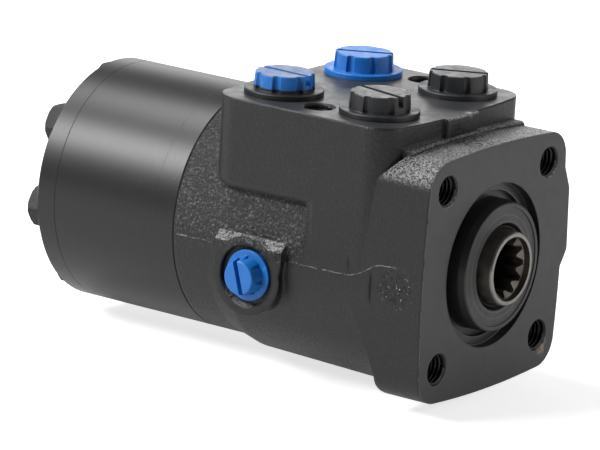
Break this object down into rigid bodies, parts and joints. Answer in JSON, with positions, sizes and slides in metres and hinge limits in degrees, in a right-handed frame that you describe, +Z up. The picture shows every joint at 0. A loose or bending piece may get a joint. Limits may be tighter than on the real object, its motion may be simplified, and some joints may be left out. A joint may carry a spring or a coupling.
{
  "type": "orbital steering unit",
  "caption": "Compact hydraulic orbital steering unit with square column flange, splined hollow spool, ported block, side sensing port, gerotor stack and removable port plugs.",
  "frame": {"origin": "shaft axis at the column flange's front face", "axes": "+X along the shaft, out of the flange; +Z up through the port face; +Y to the right seen from the flange"},
  "size_m": [0.1687, 0.0913, 0.0996],
  "materials": {
    "black_paint": "satin",
    "steel": "satin",
    "seal_rubber": "matte",
    "blue_plastic": "satin",
    "dark_plastic": "satin"
  },
  "bodies": {
    "housing": {"housing": "black_paint", "dust_seal": "seal_rubber", "shaft_seal_ring": "seal_rubber", "thrust_race_front": "steel", "distributor_plate": "black_paint", "gear_ring": "black_paint", "o_ring_plate": "seal_rubber", "o_ring_gear_front": "seal_rubber", "o_ring_gear_rear": "seal_rubber", "end_cover": "black_paint", "cover_screws": "black_paint", "cover_screw_check": "black_paint", "cover_washers": "black_paint", "check_valve_bushing": "steel", "check_valve_pin": "steel", "relief_adjuster": "steel", "relief_spring": "steel", "relief_plug": "black_paint", "relief_plug_seal": "seal_rubber"},
    "sleeve": {"sleeve": "steel", "cross_pin": "steel", "springs_flat": "steel", "springs_arched": "steel", "spring_ring": "steel", "thrust_race_rear": "steel"},
    "spool": {"spool": "steel"},
    "needle_cage": {"needle_cage": "steel", "thrust_needles": "steel"},
    "spacer": {"spacer": "steel"},
    "rotor": {"gear_rotor": "steel"},
    "cardan": {"cardan_shaft": "steel"},
    "check_ball": {"check_valve_ball": "steel"},
    "relief_cone": {"relief_cone": "steel"},
    "plug_p": {"plug_p": "blue_plastic"},
    "plug_t": {"plug_t": "blue_plastic"},
    "plug_l": {"plug_l": "dark_plastic"},
    "plug_r": {"plug_r": "dark_plastic"},
    "plug_ls": {"plug_ls": "blue_plastic"}
  },
  "joints": [
    {"name": "sleeve_turn", "type": "hinge", "parent": "housing", "child": "sleeve", "pos_m": [-0.04, 0, 0], "axis": [1, 0, 0], "continuous": true},
    {"name": "spool_deflect", "type": "hinge", "parent": "sleeve", "child": "spool", "pos_m": [-0.04, 0, 0], "axis": [1, 0, 0], "range_deg": [-10, 10], "stiffness_Nm_per_rad": 8, "deforming": ["springs_flat", "springs_arched"]},
    {"name": "needle_cage_turn", "type": "hinge", "parent": "housing", "child": "needle_cage", "pos_m": [-0.0137, 0, 0], "axis": [1, 0, 0], "continuous": true},
    {"name": "rotor_orbit", "type": "hinge", "parent": "housing", "child": "spacer", "pos_m": [-0.12775, 0, 0], "axis": [1, 0, 0], "continuous": true},
    {"name": "rotor_spin", "type": "hinge", "parent": "spacer", "child": "rotor", "pos_m": [-0.12775, 0.0002, 0.0039], "axis": [1, 0, 0], "continuous": true},
    {"name": "cardan_spin", "type": "hinge", "parent": "spacer", "child": "cardan", "pos_m": [-0.04, 0, 0], "axis": [0.999, -0.0023, -0.0452], "continuous": true},
    {"name": "check_ball_lift", "type": "slide", "parent": "housing", "child": "check_ball", "axis": [-1, 0, 0], "range_m": [0, 0.0015]},
    {"name": "relief_cone_lift", "type": "slide", "parent": "housing", "child": "relief_cone", "axis": [0, 1, 0], "range_m": [0, 0.0008]},
    {"name": "plug_p_pull", "type": "slide", "parent": "housing", "child": "plug_p", "axis": [0, 0, 1], "range_m": [0, 0.016]},
    {"name": "plug_t_pull", "type": "slide", "parent": "housing", "child": "plug_t", "axis": [0, 0, 1], "range_m": [0, 0.016]},
    {"name": "plug_l_pull", "type": "slide", "parent": "housing", "child": "plug_l", "axis": [0, 0, 1], "range_m": [0, 0.016]},
    {"name": "plug_r_pull", "type": "slide", "parent": "housing", "child": "plug_r", "axis": [0, 0, 1], "range_m": [0, 0.016]},
    {"name": "plug_ls_pull", "type": "slide", "parent": "housing", "child": "plug_ls", "axis": [0, -1, 0], "range_m": [0, 0.016]}
  ],
  "couplings": [
    {"joint": "rotor_orbit", "follows": "sleeve_turn", "ratio": -6},
    {"joint": "rotor_spin", "follows": "sleeve_turn", "ratio": 7},
    {"joint": "cardan_spin", "follows": "sleeve_turn", "ratio": 7},
    {"joint": "needle_cage_turn", "follows": "sleeve_turn", "ratio": 0.5}
  ]
}
